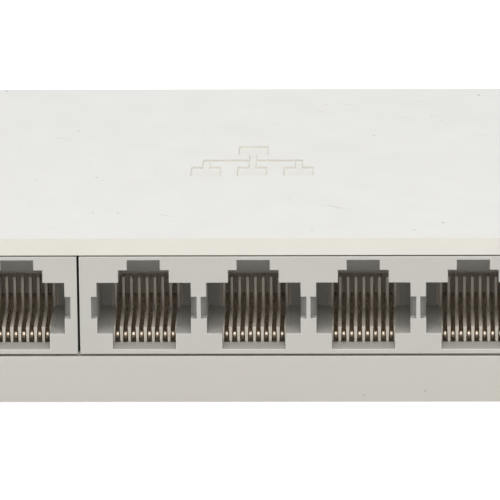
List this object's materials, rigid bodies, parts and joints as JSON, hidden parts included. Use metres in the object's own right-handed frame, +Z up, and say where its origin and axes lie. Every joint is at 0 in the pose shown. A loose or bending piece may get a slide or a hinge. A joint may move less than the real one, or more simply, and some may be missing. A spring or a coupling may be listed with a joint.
{
  "type": "desktop network switch",
  "caption": "Small white desktop network switch: plastic housing with a row of modular jacks, power inlet, side vents and indicator windows.",
  "frame": {"origin": "on the desk plane under the middle of the case", "axes": "+X along the row of ports (left to right seen from the port side), ports face -Y, +Z up"},
  "size_m": [0.1036, 0.07, 0.022],
  "materials": {
    "white_plastic": "fine matt moulded ABS, warm white",
    "white_nylon": "semi-matt moulded nylon, warm grey-white",
    "carrier_plastic": "semi-matt moulded nylon",
    "contact_metal": "plated phosphor bronze",
    "steel": "plated steel",
    "rubber_foot": "matt rubber",
    "label": "blank satin film",
    "circuit_board": "glass-epoxy board under green solder mask",
    "black_plastic": "moulded black plastic",
    "chip_black": "matt moulding compound",
    "ferrite": "matt ferrite",
    "capacitor_sleeve": "shrink sleeve",
    "ceramic_blue": "dipped coating",
    "led_resin": "clear casting resin",
    "clear_resin": "clear moulded acrylic"
  },
  "bodies": {
    "chassis": {"top_cover": "white_plastic", "base_cover": "white_plastic", "port_block_single": "white_nylon", "port_block_quad": "white_nylon", "contact_tray_1": "carrier_plastic", "contact_tray_2": "carrier_plastic", "contact_tray_3": "carrier_plastic", "contact_tray_4": "carrier_plastic", "contact_tray_5": "carrier_plastic", "dc_jack_terminal": "contact_metal", "case_screw_left": "steel", "case_screw_right": "steel", "board_screw_left": "steel", "board_screw_right": "steel", "dc_jack_pin": "steel", "crystal": "steel", "foot_front_left": "rubber_foot", "foot_front_right": "rubber_foot", "foot_rear_left": "rubber_foot", "foot_rear_right": "rubber_foot", "rating_label": "label", "main_board": "circuit_board", "dc_jack_body": "black_plastic", "switch_chip": "chip_black", "line_transformer_quad": "chip_black", "line_transformer_single": "chip_black", "buck_converter": "chip_black", "core_regulator": "chip_black", "input_diode": "chip_black", "power_inductor": "ferrite", "input_capacitor": "capacitor_sleeve", "output_capacitor": "capacitor_sleeve", "isolation_capacitor": "ceramic_blue", "led_power": "led_resin", "led_port_1": "led_resin", "led_port_2": "led_resin", "led_port_3": "led_resin", "led_port_4": "led_resin", "led_port_5": "led_resin", "light_guide": "clear_resin"},
    "contacts_1": {"contact_set_1": "contact_metal"},
    "contacts_2": {"contact_set_2": "contact_metal"},
    "contacts_3": {"contact_set_3": "contact_metal"},
    "contacts_4": {"contact_set_4": "contact_metal"},
    "contacts_5": {"contact_set_5": "contact_metal"},
    "inlet_spring": {"dc_jack_spring": "contact_metal"}
  },
  "joints": [
    {"name": "contacts_1_flex", "type": "hinge", "parent": "chassis", "child": "contacts_1", "pos_m": [-0.02928, -0.0312, 0.00842], "axis": [-1, 0, 0], "range_deg": [0, 12], "stiffness_Nm_per_rad": 0.001},
    {"name": "contacts_2_flex", "type": "hinge", "parent": "chassis", "child": "contacts_2", "pos_m": [-0.01319, -0.0312, 0.00842], "axis": [-1, 0, 0], "range_deg": [0, 12], "stiffness_Nm_per_rad": 0.001},
    {"name": "contacts_3_flex", "type": "hinge", "parent": "chassis", "child": "contacts_3", "pos_m": [0.00078, -0.0312, 0.00842], "axis": [-1, 0, 0], "range_deg": [0, 12], "stiffness_Nm_per_rad": 0.001},
    {"name": "contacts_4_flex", "type": "hinge", "parent": "chassis", "child": "contacts_4", "pos_m": [0.01475, -0.0312, 0.00842], "axis": [-1, 0, 0], "range_deg": [0, 12], "stiffness_Nm_per_rad": 0.001},
    {"name": "contacts_5_flex", "type": "hinge", "parent": "chassis", "child": "contacts_5", "pos_m": [0.02872, -0.0312, 0.00842], "axis": [-1, 0, 0], "range_deg": [0, 12], "stiffness_Nm_per_rad": 0.001},
    {"name": "inlet_spring_flex", "type": "hinge", "parent": "chassis", "child": "inlet_spring", "pos_m": [-0.0442, -0.0255, 0.0096], "axis": [1, 0, 0], "range_deg": [0, 8], "stiffness_Nm_per_rad": 0.0003}
  ]
}
